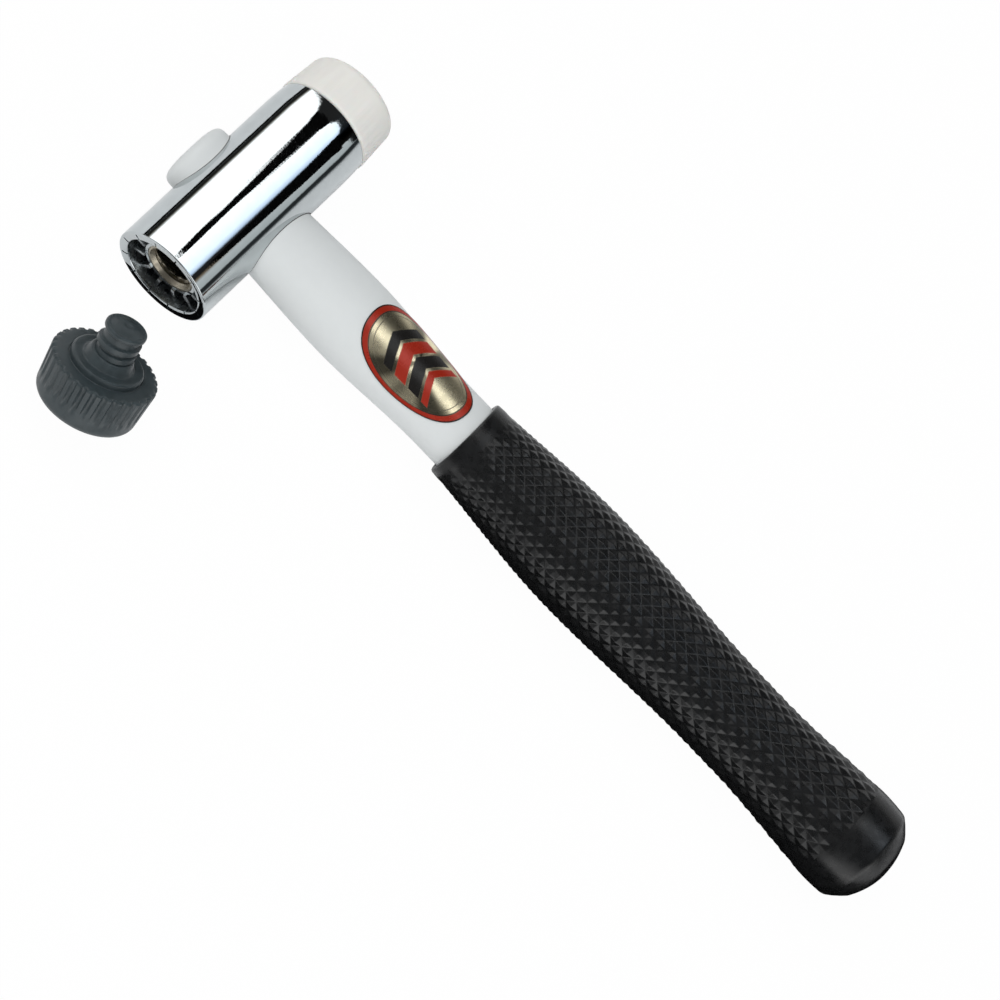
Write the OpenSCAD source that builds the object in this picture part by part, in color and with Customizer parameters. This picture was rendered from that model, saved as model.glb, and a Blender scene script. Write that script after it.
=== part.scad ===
// Soft face hammer: a chrome barrel with two screw-in faces, on an oval shaft with a rubber grip.
// The tool lies on its side. X runs from the head to the grip's end, Y along the barrel towards
// the nylon face, and Z is up. The plastic face is off, and lies beside the open end.

/* [Barrel] */
// Diameter of the barrel and of both faces
barrel_d = 32; // [30:0.5:38]
// Handle axis to the open rim
barrel_open_l = 33; // [32:0.5:40]
// Handle axis to the rim under the nylon face
barrel_nylon_l = 35; // [32:0.5:40]
// Rounding of the barrel's end edges
barrel_edge_r = 0.8; // [0.4:0.1:1.4]

/* [Face recess] */
// Diameter of the recess inside each rim
recess_d = 26; // [25:0.25:27.5]
// Chamfer at the mouth of the recess
recess_chamfer = 0.6; // [0.2:0.1:1]
// Depth of the pockets between the ribs
pocket_depth = 7; // [5:0.5:10]
// Number of ribs around the boss
rib_count = 12; // [6:1:16]
// Thickness of a rib
rib_t = 1.3; // [0.8:0.1:2]
// Step from the ribs down to the boss
boss_step = 0.8; // [0.2:0.1:1.2]
// Wall of the boss around its bush
boss_wall = 1.1; // [0.8:0.1:1.5]
// Width of the radial nicks in the open rim
nick_w = 0.7; // [0.3:0.1:1.2]
// Depth of those nicks
nick_depth = 0.6; // [0.2:0.1:1.2]

/* [Threaded bush] */
// Wall of the bush behind its thread
bush_wall = 1.2; // [0.8:0.1:1.6]
// Depth of the bush's thread grooves
groove_depth = 0.6; // [0.3:0.1:0.9]
// Number of grooves at the mouth, above the plain bore
groove_count = 2; // [1:1:3]
// Room in the socket past the spigot's tip
socket_spare = 2; // [1:0.5:3]

/* [Faces] */
// Height of a face from its shoulder to its striking surface
face_h = 14.6; // [12:0.2:18]
// How far the side draws in on the way to the striking end
face_taper = 0.8; // [0.2:0.1:1.5]
// Rounding of the striking edge
face_edge_r = 2.8; // [1:0.1:4]
// Number of flutes around a face
flute_count = 32; // [24:2:36]
// Turn of the first flute from the face's own axis, in flutes
flute_phase = 0.7; // [0:0.05:0.95]
// Width of a flute at the shoulder
flute_w = 1.8; // [0.8:0.1:2]
// Depth of a flute at the shoulder
flute_depth = 0.6; // [0.2:0.05:0.8]
// Diameter of the disc that stands on the shoulder
disc_d = 21.8; // [20:0.2:23]
// Height of that disc
disc_h = 2; // [1.4:0.1:2.6]
// Rounding of the disc's edge
disc_edge_r = 0.8; // [0.3:0.1:1.2]
// Diameter of the cone at the spigot's foot
cone_d = 16.4; // [15:0.2:18]
// Height of that cone
cone_h = 2.6; // [2:0.1:3.5]

/* [Spigot thread] */
// Diameter over the thread
spigot_d = 12.4; // [11.6:0.2:13]
// Depth of the thread
thread_depth = 0.8; // [0.4:0.1:1]
// Pitch of the thread
thread_pitch = 2.9; // [2.4:0.1:3.2]
// Shoulder to the spigot's tip
spigot_l = 14.5; // [13.5:0.5:16]
// Height of the plain head at the tip
tip_h = 2.1; // [1.6:0.1:2.6]
// Crown of that head
tip_crown = 0.6; // [0.2:0.1:1]

/* [Shaft] */
// Shaft width at the barrel's top
eye_top_w = 22.3; // [20:0.1:24]
// Shaft thickness at the barrel's top
eye_top_t = 15; // [13:0.1:17]
// Shaft width under the barrel
neck_w = 25.2; // [24:0.1:27]
// Shaft thickness under the barrel
neck_t = 16.6; // [15:0.1:18]
// Shaft width at its swell
swell_w = 27.1; // [25:0.1:30]
// Shaft thickness at its swell
swell_t = 19; // [17:0.1:22]
// Head axis to the swell
swell_x = 45; // [38:1:52]
// Shaft width at the throat and inside the grip
throat_w = 23.1; // [21:0.1:24]
// Shaft thickness there
throat_t = 16.8; // [15:0.1:18]
// Head axis to the throat
throat_x = 84; // [76:1:88]
// How far the domed shaft end stands out of the barrel
crown_h = 4.9; // [3:0.1:7]
// Thickness of the resin between shaft and eye
bond_t = 0.4; // [0.2:0.05:0.8]

/* [Grip] */
// Head axis to the top of the collar
grip_start_x = 91.7; // [90:0.1:98]
// Width of the collar
collar_w = 27.3; // [26:0.1:30]
// Thickness of the collar
collar_t = 21; // [20:0.1:24]
// Slope at which the collar widens
collar_flare = 0.14; // [0:0.02:0.3]
// Head axis to the palm swell
palm_x = 142; // [130:1:155]
// Width of the palm swell
palm_w = 34.1; // [30:0.1:38]
// Thickness of the palm swell
palm_t = 28; // [24:0.1:31]
// Head axis to the start of the waist
waist_x = 200; // [185:1:205]
// Length of the waist
waist_l = 12; // [4:1:20]
// Width of the waist
waist_w = 29.9; // [27:0.1:33]
// Thickness of the waist
waist_t = 25.4; // [23:0.1:29]
// Head axis to the end bulb
bulb_x = 253.5; // [240:0.5:262]
// Width of the end bulb
bulb_w = 33.4; // [31:0.1:38]
// Straight length of the bulb
bulb_l = 4; // [2:0.5:6]
// Length of the rounded shoulder and bevel past the bulb
bevel_l = 6.6; // [4:0.2:9]
// How far the bevel draws in
bevel_in = 5.3; // [3:0.1:7]
// Height of the dome on the bevel
dome_h = 3.1; // [1:0.1:5]
// Rubber left behind the shaft's end
tail_wall = 8; // [5:0.5:14]

/* [Label] */
// Head axis to the label's centre
label_x = 67.4; // [55:0.2:70]
// Length of the oval label
label_l = 39.4; // [24:0.2:42]
// Width of the label, measured around the shaft
label_w = 21.8; // [16:0.2:30]
// Angle of its centre from the top towards the nylon face
label_turn = 8; // [-20:1:30]
// Thickness of the foil
label_t = 0.2; // [0.1:0.05:0.4]

/* [Loose face] */
// Shoulder centre of the loose face along the handle
loose_x = 7.2; // [0:0.1:15]
// Its distance from the handle axis
loose_y = 64.7; // [60:0.1:80]
// Lean of its axis from upright
loose_tilt = 38.5; // [30:0.5:50]
// Direction of that lean, from the handle towards the nylon face
loose_heading = 111.8; // [90:0.2:130]

/* [Clearances] */
// Radial room between a screwed-in face and its socket
screw_clearance = 0.3; // [0.1:0.05:0.4]
// Room between a seated disc and the ribs under it
disc_room = 0.6; // [0.3:0.1:1]
// Gap left around pressed and moulded-on pieces
press_gap = 0.02; // [0.01:0.01:0.05]
// Thickness of the adhesive under the label
adhesive_t = 0.12; // [0.1:0.01:0.2]

/* [Hidden] */
$fn = 96;

// Sides of the oval sections and the power of their outline, where 2 is an ellipse
oval_sides = 40;
oval_power = 2.2;
// Points in a rounded edge, and rings along one stretch of the handle
arc_steps = 8;
stretch_rings = 8;
// Overshoot of a cut past the face that it opens
cut = 1;
// How far the eye's taper runs on under the barrel
eye_overrun = 1;
// Power of the shaft end's flat-topped dome, and the least share of its section that its top keeps
crown_power = 4;
crown_least = 0.4;
// Share of the bevel that its rounded shoulder takes, how far that is drawn out, and its end angle
shoulder_share = 1 / 3;
shoulder_stretch = 1.4;
shoulder_turn = 45;
// Angles of the rings up the grip's end dome, and the share of the section that closes it
dome_turns = [20, 40, 60, 80];
dome_least = 0.05;
// A thread ridge's half width at its root, in thread depths, and its place in a pitch
ridge_foot = 1.5;
ridge_phase = 0.75;
// Height of the tip's crown at half its radius, as a share
tip_rise = 0.75;

barrel_r = barrel_d / 2;
recess_r = recess_d / 2;
face_strike_r = barrel_r - face_taper;
spigot_r = spigot_d / 2;
disc_r = disc_d / 2;
cone_r = cone_d / 2;
cone_top = disc_h + cone_h;

// The socket, in depths below the rim
bore_r = spigot_r + screw_clearance;
bush_r = bore_r + groove_depth + bush_wall;
boss_r = bush_r + boss_wall;
rib_drop = disc_h + disc_room;
boss_drop = rib_drop + boss_step;
socket_depth = spigot_l + socket_spare;
cone_slope = (cone_r - spigot_r) / cone_h;
countersink_r = bore_r + cone_slope * max(cone_top - boss_drop, 0);

// Shaft and grip
neck_x = barrel_r + eye_overrun;
crown_x = -(barrel_r + crown_h);
bevel_x = bulb_x + bulb_l;
dome_x = bevel_x + bevel_l;
grip_end_x = dome_x + dome_h;
tang_end_x = grip_end_x - tail_wall;
bulb_t = barrel_d;
eye_slope_w = (neck_w - eye_top_w) / (neck_x + barrel_r);
eye_slope_t = (neck_t - eye_top_t) / (neck_x + barrel_r);

// Sections along the handle: [x, width, thickness, slope of the width, slope of the thickness]
shaft_line = [
    [-barrel_r, eye_top_w, eye_top_t, eye_slope_w, eye_slope_t],
    [neck_x, neck_w, neck_t, eye_slope_w, eye_slope_t],
    [swell_x, swell_w, swell_t, 0, 0],
    [throat_x, throat_w, throat_t, 0, 0]
];
grip_line = [
    [grip_start_x, collar_w, collar_t, collar_flare, collar_flare],
    [palm_x, palm_w, palm_t, 0, 0],
    [waist_x, waist_w, waist_t, 0, 0],
    [waist_x + waist_l, waist_w, waist_t, 0, 0],
    [bulb_x, bulb_w, bulb_t, 0, 0]
];

// The loose face rests on its striking edge, and the row stands on the floor under its middle
loose_lean_y = sin(loose_tilt) * sin(loose_heading);
edge_ring_r = face_strike_r - face_edge_r;
edge_ring_h = face_h - face_edge_r;
loose_z = edge_ring_h * cos(loose_tilt) + edge_ring_r * sin(loose_tilt) + face_edge_r - barrel_r;
loose_reach = edge_ring_h * loose_lean_y + edge_ring_r * sqrt(1 - pow(loose_lean_y, 2)) + face_edge_r;
row_low_y = -loose_y - loose_reach;
row_high_y = barrel_nylon_l + face_h;
row_origin = [(crown_x + grip_end_x) / 2, (row_low_y + row_high_y) / 2, -barrel_r];

// Smooth passage from one value and slope to the next over a length
function hermite(a, b, slope_a, slope_b, length, u) =
    (2 * u ^ 3 - 3 * u ^ 2 + 1) * a + (u ^ 3 - 2 * u ^ 2 + u) * length * slope_a
    + (3 * u ^ 2 - 2 * u ^ 3) * b + (u ^ 3 - u ^ 2) * length * slope_b;

// Width and thickness part of the way along one stretch of a line of sections
function stretch_size(from, to, u) =
    let (length = to[0] - from[0])
    [hermite(from[1], to[1], from[3], to[3], length, u), hermite(from[2], to[2], from[4], to[4], length, u)];

// Width and thickness of a line of sections at x
function size_at(line, x) =
    let (
        later = [for (i = [1:len(line) - 1]) if (x <= line[i][0]) i],
        i = len(later) > 0 ? later[0] : len(line) - 1,
        u = min((x - line[i - 1][0]) / (line[i][0] - line[i - 1][0]), 1)
    )
    stretch_size(line[i - 1], line[i], u);

function signed_power(v, p) = sign(v) * pow(abs(v), p);

// A point on an oval section, turned from the top towards the nylon face
function oval_point(x, size, turn, grow = 0) = [
    x,
    (size[0] / 2 + grow) * signed_power(sin(turn), 2 / oval_power),
    (size[1] / 2 + grow) * signed_power(cos(turn), 2 / oval_power)
];

function oval_ring(x, size, grow = 0) =
    [for (k = [0:oval_sides - 1]) oval_point(x, size, -360 * k / oval_sides, grow)];

// Rings along every stretch of a line of sections
function line_rings(line) = [
    for (i = [0:len(line) - 2], k = [0:stretch_rings - 1])
        let (u = k / stretch_rings)
        oval_ring(line[i][0] + (line[i + 1][0] - line[i][0]) * u, stretch_size(line[i], line[i + 1], u))
];

// Section of the tapered eye, carried on past both sides of the barrel
function eye_size(x) = [
    eye_top_w + eye_slope_w * (x + barrel_r),
    eye_top_t + eye_slope_t * (x + barrel_r)
];

function arc(centre, r, from, to) =
    [for (k = [0:arc_steps]) centre + r * [cos(from + (to - from) * k / arc_steps),
                                           sin(from + (to - from) * k / arc_steps)]];

// A closed skin over a row of rings
module loft(rings) {
    n = len(rings[0]);
    m = len(rings);
    sides = [
        for (i = [0:m - 2], k = [0:n - 1])
            let (a = i * n + k, b = i * n + (k + 1) % n)
            each [[a, a + n, b + n], [a, b + n, b]]
    ];
    first = [for (k = [0:n - 1]) k];
    last = [for (k = [n - 1:-1:0]) (m - 1) * n + k];
    polyhedron([for (ring = rings) each ring], concat([first], sides, [last]));
}

// From the head's own axes to the row's origin
module in_row() {
    translate(-row_origin) children();
}

// Stands a piece that is drawn along Z, with its shoulder at zero, on one of the rims
module on_open_rim() {
    translate([0, -barrel_open_l, 0]) rotate([90, 0, 0]) children();
}

module on_nylon_rim() {
    translate([0, barrel_nylon_l, 0]) rotate([-90, 0, 0]) children();
}

module around(count) {
    for (k = [0:count - 1])
        rotate([0, 0, 360 * k / count]) children();
}

// Ribs and nicks start at the barrel's underside
module rib_places() {
    rotate([0, 0, 90]) around(rib_count) children();
}

module recess_cut(nicked) {
    translate([0, 0, -rib_drop]) cylinder(r = recess_r, h = rib_drop + cut);
    translate([0, 0, -recess_chamfer])
        cylinder(r1 = recess_r, r2 = recess_r + recess_chamfer, h = recess_chamfer);
    translate([0, 0, -boss_drop]) cylinder(r = boss_r, h = boss_drop);
    translate([0, 0, -socket_depth]) cylinder(r = bush_r, h = socket_depth);
    difference() {
        translate([0, 0, -pocket_depth]) cylinder(r = recess_r, h = pocket_depth);
        translate([0, 0, -pocket_depth - cut]) cylinder(r = boss_r, h = pocket_depth + 2 * cut);
        rib_places()
            translate([boss_r - cut, -rib_t / 2, -pocket_depth - cut])
                cube([recess_r - boss_r + 2 * cut, rib_t, pocket_depth + 2 * cut]);
    }
    if (nicked)
        rib_places()
            translate([recess_r, -nick_w / 2, -nick_depth])
                cube([barrel_r - barrel_edge_r - recess_r, nick_w, nick_depth + cut]);
}

module barrel_body() {
    open_y = barrel_open_l - barrel_edge_r;
    nylon_y = barrel_nylon_l - barrel_edge_r;
    edge_x = barrel_r - barrel_edge_r;
    rotate([-90, 0, 0])
        rotate_extrude()
            polygon(concat(
                [[0, -barrel_open_l]],
                arc([edge_x, -open_y], barrel_edge_r, -90, 0),
                arc([edge_x, nylon_y], barrel_edge_r, 0, 90),
                [[0, barrel_nylon_l]]
            ));
}

module eye_plug(reach) {
    loft([for (x = [-reach, reach]) oval_ring(x, eye_size(x), bond_t)]);
}

module head_casting() {
    color("silver")
        in_row()
            difference() {
                barrel_body();
                eye_plug(barrel_r + cut);
                on_open_rim() recess_cut(true);
                on_nylon_rim() recess_cut(false);
            }
}

// A threaded bush, with its grooves near the mouth and a plain bore below them
module bush() {
    top = -max(cone_top, boss_drop);
    bottom = -socket_depth;
    band = thread_pitch - 2 * groove_depth;
    outer_r = bush_r - press_gap;
    grooves = [
        for (k = [0:groove_count - 1])
            let (z = top - band - k * thread_pitch)
            each [[bore_r, z], [bore_r + groove_depth, z - groove_depth], [bore_r, z - 2 * groove_depth]]
    ];
    rotate_extrude()
        polygon(concat(
            [[outer_r, bottom], [outer_r, -boss_drop], [countersink_r, -boss_drop], [bore_r, top]],
            grooves,
            [[bore_r, bottom]]
        ));
}

module open_socket_insert() {
    color("tan") in_row() on_open_rim() bush();
}

module nylon_socket_insert() {
    color("tan") in_row() on_nylon_rim() bush();
}

// Thread ridges stand on the spigot's root, one pitch apart, below the plain head
function thread_ridge(z) =
    let (root = spigot_r - thread_depth, half = thread_depth)
    [
        [root, z - ridge_foot * half],
        [spigot_r, z - half / 2],
        [spigot_r, z + half / 2],
        [root, z + ridge_foot * half]
    ];

// V-shaped flutes, which run out where the tapering side meets their roots. Their flanks are drawn out
// past the side, to where neighbours meet
module flute_outline() {
    pitch = 360 / flute_count;
    root_r = barrel_r - flute_depth;
    meet_r = root_r + flute_depth * PI * barrel_d / flute_count / flute_w;
    polygon([
        for (k = [0:flute_count - 1])
            let (a = pitch * (k + flute_phase), b = a + pitch / 2)
            each [root_r * [cos(a), sin(a)], meet_r * [cos(b), sin(b)]]
    ]);
}

// A striking face, with its shoulder at zero and its spigot pointing up
module face() {
    root = spigot_r - thread_depth;
    tip = spigot_l - tip_crown;
    head_z = spigot_l - tip_h;
    ridges = floor((head_z - cone_top) / thread_pitch);
    intersection() {
        rotate_extrude()
            polygon(concat(
                [[0, -face_h]],
                arc([edge_ring_r, -edge_ring_h], face_edge_r, -90, 0),
                [[barrel_r, 0], [disc_r, 0]],
                arc([disc_r - disc_edge_r, disc_h - disc_edge_r], disc_edge_r, 0, 90),
                [[cone_r, disc_h], [spigot_r, cone_top], [root, cone_top]],
                [for (k = [ridges - 1:-1:0]) each thread_ridge(head_z - (k + ridge_phase) * thread_pitch)],
                [[root, head_z], [spigot_r, head_z + thread_depth / 2], [spigot_r, tip - thread_depth / 2]],
                [[spigot_r - thread_depth, tip], [spigot_r / 2, tip + tip_crown * tip_rise], [0, spigot_l]]
            ));
        translate([0, 0, -face_h - cut])
            linear_extrude(face_h + spigot_l + 2 * cut) flute_outline();
    }
}

module nylon_face() {
    color("ivory") in_row() on_nylon_rim() rotate([180, 0, 0]) face();
}

module plastic_face() {
    color("darkslategray")
        in_row()
            translate([loose_x, -loose_y, loose_z])
                rotate([0, loose_tilt, loose_heading])
                    face();
}

// The shaft's end rises to a flat-topped dome
function crown_rings() = [
    for (k = [0:arc_steps - 1])
        let (
            h = cos(90 * k / arc_steps),
            shrink = max(pow(1 - h ^ crown_power, 1 / crown_power), crown_least)
        )
        oval_ring(-barrel_r - crown_h * h, eye_size(-barrel_r) * shrink)
];

module shaft_body() {
    loft(concat(
        crown_rings(),
        line_rings(shaft_line),
        [for (x = [throat_x, tang_end_x]) oval_ring(x, [throat_w, throat_t])]
    ));
}

module handle_shaft() {
    color("whitesmoke") in_row() shaft_body();
}

module eye_bond() {
    color("khaki")
        in_row()
            intersection() {
                rotate([90, 0, 0]) cylinder(r = barrel_r, h = 2 * eye_top_w, center = true);
                difference() {
                    loft([for (x = [-barrel_r - cut, barrel_r + cut])
                        oval_ring(x, eye_size(x), bond_t - press_gap)]);
                    loft([for (x = [-barrel_r - 2 * cut, barrel_r + 2 * cut])
                        oval_ring(x, eye_size(x), press_gap)]);
                }
            }
}

// Rounded shoulder, bevel and dome at the grip's end
function grip_end_rings() =
    let (
        bulb = [bulb_w, bulb_t],
        round_l = bevel_in * shoulder_share,
        dome = [bulb_w - 2 * bevel_in, bulb_t - 2 * bevel_in]
    )
    concat(
        [oval_ring(bulb_x, bulb)],
        [for (a = [0:shoulder_turn / 3:shoulder_turn])
            oval_ring(bevel_x + round_l * sin(a) * shoulder_stretch, bulb, -round_l * (1 - cos(a)))],
        [oval_ring(dome_x, dome)],
        [for (a = dome_turns) oval_ring(dome_x + dome_h * (1 - cos(a) ^ 2), dome * cos(a))],
        [oval_ring(grip_end_x, dome * dome_least)]
    );

module grip_sleeve() {
    color("black")
        in_row()
            difference() {
                loft(concat(line_rings(grip_line), grip_end_rings()));
                loft([for (x = [grip_start_x - cut, tang_end_x + press_gap])
                    oval_ring(x, [throat_w, throat_t], press_gap)]);
            }
}

// The label follows the shaft: rings of its oval, on the inner or the outer skin
module label_patch() {
    rings = 6;
    spokes = 40;
    around_r = (size_at(shaft_line, label_x)[0] + size_at(shaft_line, label_x)[1]) / 4;
    turn_reach = label_w / 2 / around_r * 180 / PI;
    function skin(lift) = [
        for (i = [1:rings], k = [0:spokes - 1])
            let (
                share = i / rings,
                a = 360 * k / spokes,
                x = label_x + label_l / 2 * share * cos(a)
            )
            oval_point(x, size_at(shaft_line, x), label_turn + turn_reach * share * sin(a), lift)
    ];
    function centre(lift) = [oval_point(label_x, size_at(shaft_line, label_x), label_turn, lift)];
    count = rings * spokes + 1;
    function at(skin_no, i, k) = skin_no * count + 1 + i * spokes + k % spokes;
    function skin_faces(s) = [
        for (k = [0:spokes - 1]) each concat(
            [[s * count, at(s, 0, k), at(s, 0, k + 1)]],
            [for (i = [0:rings - 2]) each [
                [at(s, i, k), at(s, i + 1, k), at(s, i + 1, k + 1)],
                [at(s, i, k), at(s, i + 1, k + 1), at(s, i, k + 1)]
            ]]
        )
    ];
    function flip(faces) = [for (f = faces) [f[2], f[1], f[0]]];
    rim = [
        for (k = [0:spokes - 1]) each [
            [at(0, rings - 1, k), at(0, rings - 1, k + 1), at(1, rings - 1, k + 1)],
            [at(0, rings - 1, k), at(1, rings - 1, k + 1), at(1, rings - 1, k)]
        ]
    ];
    polyhedron(
        concat(centre(adhesive_t), skin(adhesive_t), centre(adhesive_t + label_t), skin(adhesive_t + label_t)),
        concat(skin_faces(0), flip(skin_faces(1)), flip(rim))
    );
}

module handle_label() {
    color("gold") in_row() label_patch();
}

head_casting();
open_socket_insert();
nylon_socket_insert();
nylon_face();
plastic_face();
handle_shaft();
eye_bond();
grip_sleeve();
handle_label();
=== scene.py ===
"""Soft face hammer: the visible pieces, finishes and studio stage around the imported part."""

import math

import bpy
from mathutils import Matrix, Vector


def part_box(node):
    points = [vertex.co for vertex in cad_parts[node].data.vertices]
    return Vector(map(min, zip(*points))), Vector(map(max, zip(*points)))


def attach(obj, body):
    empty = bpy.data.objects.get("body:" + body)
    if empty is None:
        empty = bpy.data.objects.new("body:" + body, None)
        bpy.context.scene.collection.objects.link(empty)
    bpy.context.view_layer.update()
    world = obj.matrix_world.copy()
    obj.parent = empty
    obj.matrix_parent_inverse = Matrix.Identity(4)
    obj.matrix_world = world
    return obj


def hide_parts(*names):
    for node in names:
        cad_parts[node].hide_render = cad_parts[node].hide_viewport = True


bl_info = {
    "name": "Soft Face Hammer",
    "version": (1, 0, 0),
    "blender": (4, 5, 0),
    "location": "View3D > Sidebar > Hammer",
    "description": "Builds a soft face hammer with its loose face, its finishes and a plain studio",
    "category": "Object",
}

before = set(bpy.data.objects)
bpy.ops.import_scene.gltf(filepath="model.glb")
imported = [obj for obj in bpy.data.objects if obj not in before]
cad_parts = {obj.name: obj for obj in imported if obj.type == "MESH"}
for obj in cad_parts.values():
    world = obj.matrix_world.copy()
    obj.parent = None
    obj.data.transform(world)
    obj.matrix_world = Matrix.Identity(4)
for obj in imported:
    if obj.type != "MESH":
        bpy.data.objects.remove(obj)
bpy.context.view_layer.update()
MM = 0.001
MERGE = 0.001 * MM
FULL_TURN = 2 * math.pi

# The head's own axes: X along the handle, Y towards the nylon face, Z up, from the middle of the eye
HEAD_LOW, HEAD_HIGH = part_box("head_casting")
OPEN_LENGTH = 33 * MM
NYLON_LENGTH = HEAD_HIGH.y - HEAD_LOW.y - OPEN_LENGTH
HEAD = Vector(((HEAD_LOW.x + HEAD_HIGH.x) / 2, HEAD_LOW.y + OPEN_LENGTH, (HEAD_LOW.z + HEAD_HIGH.z) / 2))
TO_HEAD = Matrix.Translation(HEAD)
# A turned piece is drawn about Z and then laid along the barrel
ALONG_BARREL = Matrix.Rotation(-math.pi / 2, 4, "X")

# Sections along the handle, in mm: place, width, thickness and the slopes of both
SHAFT_LINE = [
    (-16, 22.3, 15.0, 0.0879, 0.0485),
    (17, 25.2, 16.6, 0.0879, 0.0485),
    (45, 27.1, 19.0, 0, 0),
    (84, 23.1, 16.8, 0, 0),
]
GRIP_LINE = [
    (91.7, 27.3, 21.0, 0.14, 0.14),
    (142, 34.1, 28.0, 0, 0),
    (200, 29.9, 25.4, 0, 0),
    (212, 29.9, 25.4, 0, 0),
    (253.5, 33.4, 32.0, 0, 0),
]
OVAL_POWER = 2.2
THROAT = SHAFT_LINE[-1][0]
TANG_END = 259.2

# How far the grip's smooth parts lie below its line, in mm: place and fall
GRIP_COLLAR = ((93.2, 0), (94.4, 0), (95.2, -0.04), (95.8, -0.12), (96.4, -0.16))
GRIP_TAIL = ((247.8, -0.1), (248.5, -0.03), (249.5, 0), (251.5, 0), (253.5, -0.04), (255.5, -0.14), (257, -0.26))
GRIP_BEVEL = ((260.8, -1.9), (262.6, -3.5), (263.8, -4.75))
KNURL_START, KNURL_END = 96.8, 247.2
# Depth of the first and last rows of diamonds, as shares of the full depth
KNURL_RISE = (0.4, 0.5, 0.68, 0.86, 1)
KNURL_RUN_OUT = (0.5, 0.85, 1)

# The sockets, alike at both ends, in mm: radii, and depths from the rim
BUSH_SEAT, BOSS = 8.3, 9.4
RIB_DEPTH, BOSS_DEPTH, SOCKET_DEPTH = 2.6, 3.4, 16.5
BORE, BORE_GROOVE = 6.5, 0.75

# The root of a face's thread, in mm: its radius, where it starts and ends, and where the ridge stops
ROOT, ROOT_START, ROOT_END, RIDGE_END = 5.2, 4.8, 12.1, 10.3

# The loose face's shoulder, and its lean from upright towards a heading
LOOSE_CENTRE = Vector((7.2, -64.7, 3.754)) * MM
LOOSE_TILT = math.radians(38.5)
LOOSE_HEADING = math.radians(111.8)

# The camera from the head, with the directions of its right side and its back
CAMERA_PLACE = Vector((20.720, -411.348, 906.269)) * MM
CAMERA_RIGHT = Vector((0.68828, 0.63383, 0.35289))
CAMERA_BACK = Vector((-0.09112, -0.40705, 0.90885))

# Dark cards above, in mm: place along the barrel, and the angles from its top that their mirror image fills
CARD_HEIGHT = 250
OVERHEAD_GAP = (
    (-31.6, -4.6, -0.4), (-30, -5.6, 0), (-24, -6.2, 0), (-18, -6.4, -0.5), (-8, -6.4, -0.5), (0, -6.8, 0.3),
    (12, -8.6, 0.4), (18, -10, 1.2), (24, -10.6, 2), (30, -12.6, 3), (45, -14, 4),
)
SIDE_GAP = (
    (-26, 24, 28.6), (-12, 23, 29.8), (0, 22, 30.8), (12, 21, 32), (24, 19.4, 32), (30, 19, 33), (45, 19, 33.5),
)
# Corners of the dark cards on the floor, in mm from the head
FAR_SHADE = ((-1400, -900), (-250, -900), (-250, 1500), (-1400, 1500))
GRIP_SHADE = ((95, -260), (330, -260), (330, 45), (200, 45), (95, 5))

# Tones of the overhead light by the angle round the barrel, and how far it reaches along it there
LIGHT_TONES = (
    (-180, (.3, .3, .3)), (-93, (.3, .3, .3)), (-91, (.01, .01, .01)), (-83, (.012, .012, .01)),
    (-80, (.2, .19, .17)), (-76, (1, 1, 1)), (2, (1, 1, 1)), (12, (.93, .97, 1)), (30, (.78, .88, 1)),
    (38, (.45, .55, .7)), (42, (.012, .012, .014)), (51, (.012, .011, .01)), (55, (.13, .1, .07)),
    (61, (.36, .38, .385)), (76, (.3, .32, .325)), (78.5, (.015, .017, .018)), (87, (.015, .017, .018)),
    (91, (.3, .31, .31)), (180, (.3, .31, .31)),
)
LIGHT_REACH = (
    (-95, 1), (-70, 0.8), (-50, 0.78), (-38, 0.68), (-30, 0.5), (-22, 0), (2, 0), (8, 0.5),
    (16, 0.66), (28, 0.62), (36, 0.5), (41, 0), (58, 0), (63, 0.6), (76, 0.6), (80, 1),
)


def measure(name, about, default, **kind):
    return bpy.props.FloatProperty(name=name, description=about, default=default, **kind)


def length(name, about, default):
    return measure(name, about, default, min=0, unit="LENGTH", precision=5)


def number(name, about, default):
    return bpy.props.IntProperty(name=name, description=about, default=default, min=4)


def colour(name, of_what, default):
    return bpy.props.FloatVectorProperty(name=name, description="Colour of " + of_what, default=default,
                                         min=0, max=1, subtype="COLOR")


class BarrelSettings(bpy.types.PropertyGroup):
    radius: length("Radius", "Radius of the barrel", (HEAD_HIGH.z - HEAD_LOW.z) / 2)
    end_fall: length("End fall", "How far the polished nylon end draws in", 0.35 * MM)
    recess_radius: length("Recess radius", "Radius of the recess inside each rim", 13 * MM)
    pocket_depth: length("Pocket depth", "Depth of the pockets between the ribs", 7 * MM)
    rib_thickness: length("Rib thickness", "Thickness of a rib around the boss", 1.3 * MM)
    rib_count: number("Ribs", "Number of ribs around the boss", 12)
    chrome: colour("Chrome", "the chrome plate", (0.56, 0.595, 0.605))
    # The recesses' dull plate is a rougher cast finish, darker than the chrome partly as painted shade
    cast: colour("Cast", "the dull plate in the recesses", (0.46, 0.49, 0.5))
    brass: colour("Brass", "the threaded bush", (0.44, 0.4, 0.32))
    resin: colour("Resin", "the bond around the shaft", (0.05, 0.048, 0.045))


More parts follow.
